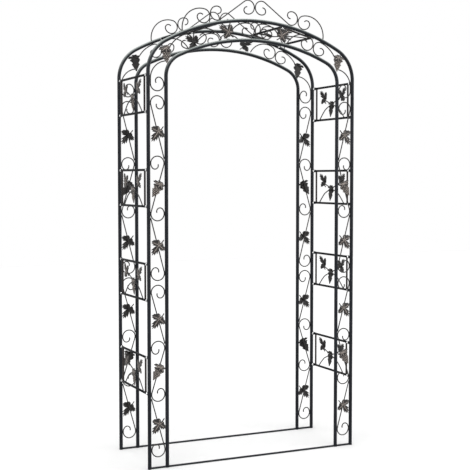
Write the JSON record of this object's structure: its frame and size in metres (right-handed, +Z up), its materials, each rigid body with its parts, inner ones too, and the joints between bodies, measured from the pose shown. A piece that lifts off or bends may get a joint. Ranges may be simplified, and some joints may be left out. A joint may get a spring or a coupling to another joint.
{
  "type": "garden trellis arch",
  "caption": "Free-standing metal garden arch: two scrolled ladder frames of round tube joined by bolted vine panels at the sides and top.",
  "frame": {"origin": "on the ground, midway between the four legs", "axes": "X across the walkway, Y from the front frame to the rear frame, Z up"},
  "size_m": [1.205, 0.459, 2.3979],
  "materials": {
    "tube": "black powder coat, satin",
    "wire": "black powder coat, satin",
    "leaf": "dark brown paint with a brushed bronze highlight",
    "bolt": "bright zinc plate"
  },
  "bodies": {
    "root": {"front_arch_outer_tube": "tube", "front_arch_inner_tube": "tube", "front_arch_scrollwork": "wire", "front_arch_foliage": "leaf", "front_crest_scrolls": "wire", "front_ground_bar": "tube", "front_left_lower_outer_tube": "tube", "front_left_lower_inner_tube": "tube", "front_left_lower_scrollwork": "wire", "front_left_lower_foliage": "leaf", "front_left_upper_outer_tube": "tube", "front_left_upper_inner_tube": "tube", "front_left_upper_scrollwork": "wire", "front_left_upper_foliage": "leaf", "front_right_lower_outer_tube": "tube", "front_right_lower_inner_tube": "tube", "front_right_lower_scrollwork": "wire", "front_right_lower_foliage": "leaf", "front_right_upper_outer_tube": "tube", "front_right_upper_inner_tube": "tube", "front_right_upper_scrollwork": "wire", "front_right_upper_foliage": "leaf", "rear_arch_outer_tube": "tube", "rear_arch_inner_tube": "tube", "rear_arch_scrollwork": "wire", "rear_arch_foliage": "leaf", "rear_crest_scrolls": "wire", "rear_ground_bar": "tube", "rear_left_lower_outer_tube": "tube", "rear_left_lower_inner_tube": "tube", "rear_left_lower_scrollwork": "wire", "rear_left_lower_foliage": "leaf", "rear_left_upper_outer_tube": "tube", "rear_left_upper_inner_tube": "tube", "rear_left_upper_scrollwork": "wire", "rear_left_upper_foliage": "leaf", "rear_right_lower_outer_tube": "tube", "rear_right_lower_inner_tube": "tube", "rear_right_lower_scrollwork": "wire", "rear_right_lower_foliage": "leaf", "rear_right_upper_outer_tube": "tube", "rear_right_upper_inner_tube": "tube", "rear_right_upper_scrollwork": "wire", "rear_right_upper_foliage": "leaf", "joint_spigots": "tube", "left_panel_1_frame": "tube", "left_panel_2_frame": "tube", "left_panel_3_frame": "tube", "left_panel_4_frame": "tube", "left_panel_vines": "leaf", "right_panel_1_frame": "tube", "right_panel_2_frame": "tube", "right_panel_3_frame": "tube", "right_panel_4_frame": "tube", "right_panel_vines": "leaf", "top_panel_frames": "tube", "top_panel_vines": "leaf", "panel_lugs": "tube", "panel_bolts": "bolt", "panel_nuts": "bolt"}
  },
  "joints": []
}
